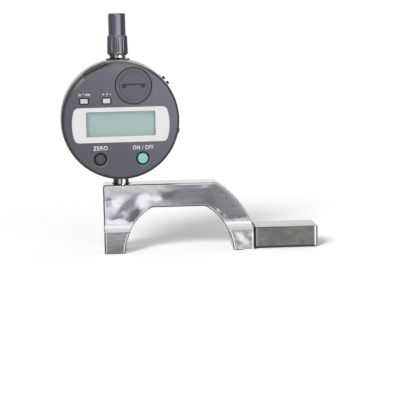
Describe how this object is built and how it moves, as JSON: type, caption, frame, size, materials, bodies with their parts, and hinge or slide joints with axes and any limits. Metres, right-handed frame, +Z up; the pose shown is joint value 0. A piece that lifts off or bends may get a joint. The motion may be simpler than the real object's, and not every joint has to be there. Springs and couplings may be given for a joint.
{
  "type": "digital recess depth gauge",
  "caption": "Digital depth gauge with a round indicator clamped by its stem in one leg of a polished arch stand and a handle bar on the other leg.",
  "frame": {"origin": "in the plane of the two feet, midway between them and halfway through their thickness", "axes": "+Z up from the feet, +X from the indicator's leg to the handle bar, -Y towards the reader of the dial"},
  "size_m": [0.1314, 0.0257, 0.1218],
  "materials": {
    "polished_steel": "ground and polished",
    "handle_steel": "fine ground",
    "screw_steel": "plain",
    "bronze": "plain",
    "case_metal": "satin",
    "slate_plastic": "fine matt",
    "face_plastic": "fine matt",
    "rubber": "matt",
    "bezel_plastic": "satin",
    "window": "clear",
    "display_panel": "smooth",
    "circuit_board": "lacquered",
    "switch_plastic": "plain",
    "battery_steel": "satin",
    "stem_chrome": "polished",
    "cap_plastic": "fine matt",
    "key_plastic": "fine matt",
    "origin_plastic": "fine matt",
    "power_plastic": "fine matt",
    "battery_cover_plastic": "fine matt",
    "hardened_steel": "ground",
    "scale_glass": "clear"
  },
  "bodies": {
    "stand": {"arch_frame": "polished_steel", "handle_bar": "handle_steel", "handle_stud": "screw_steel", "handle_dowels": "screw_steel", "stem_bush": "bronze", "clamp_screw": "screw_steel"},
    "indicator": {"rear_case": "case_metal", "back_plate": "slate_plastic", "back_screws": "screw_steel", "front_cover": "face_plastic", "case_gasket": "rubber", "display_bezel": "bezel_plastic", "display_glass": "window", "display_panel": "display_panel", "main_board": "circuit_board", "board_screws": "screw_steel", "key_switches": "switch_plastic", "detector_board": "circuit_board", "guide_rail": "case_metal", "battery": "battery_steel", "battery_contact": "bronze", "battery_holder": "switch_plastic", "stem": "stem_chrome", "stem_bearing": "bronze", "neck_sleeve": "stem_chrome", "neck_bearing": "bronze", "neck_seal": "rubber", "spindle_cap": "cap_plastic", "data_socket": "switch_plastic", "socket_plug": "rubber", "return_spring": "screw_steel"},
    "spindle": {"spindle": "hardened_steel", "contact_point": "hardened_steel", "scale_carriage": "slate_plastic", "scale_strip": "scale_glass", "guide_pin": "hardened_steel"},
    "unit_key": {"unit_key": "key_plastic"},
    "sign_key": {"sign_key": "key_plastic"},
    "origin_button": {"origin_button": "origin_plastic"},
    "power_button": {"power_button": "power_plastic"},
    "battery_cover": {"battery_cover": "battery_cover_plastic", "battery_seal": "rubber"}
  },
  "joints": [
    {"name": "indicator_turn", "type": "hinge", "parent": "stand", "child": "indicator", "pos_m": [-0.0291, 0, 0.0353], "axis": [0, 0, 1], "continuous": true},
    {"name": "spindle_slide", "type": "slide", "parent": "indicator", "child": "spindle", "axis": [0, 0, 1], "range_m": [-0.0105, 0.0022], "stiffness_N_per_m": 50, "springref_m": -0.02, "deforming": ["return_spring"]},
    {"name": "unit_key_press", "type": "slide", "parent": "indicator", "child": "unit_key", "axis": [-0.0419, 0.9991, 0], "range_m": [0, 0.0005], "stiffness_N_per_m": 500, "springref_m": -0.0002},
    {"name": "sign_key_press", "type": "slide", "parent": "indicator", "child": "sign_key", "axis": [-0.0419, 0.9991, 0], "range_m": [0, 0.0005], "stiffness_N_per_m": 500, "springref_m": -0.0002},
    {"name": "origin_button_press", "type": "slide", "parent": "indicator", "child": "origin_button", "axis": [-0.0419, 0.9991, 0], "range_m": [0, 0.0005], "stiffness_N_per_m": 500, "springref_m": -0.0002},
    {"name": "power_button_press", "type": "slide", "parent": "indicator", "child": "power_button", "axis": [-0.0419, 0.9991, 0], "range_m": [0, 0.0005], "stiffness_N_per_m": 500, "springref_m": -0.0002},
    {"name": "battery_cover_turn", "type": "hinge", "parent": "indicator", "child": "battery_cover", "pos_m": [-0.02241, 0.00028, 0.0865], "axis": [0.0419, -0.9991, 0], "range_deg": [0, 60]}
  ]
}
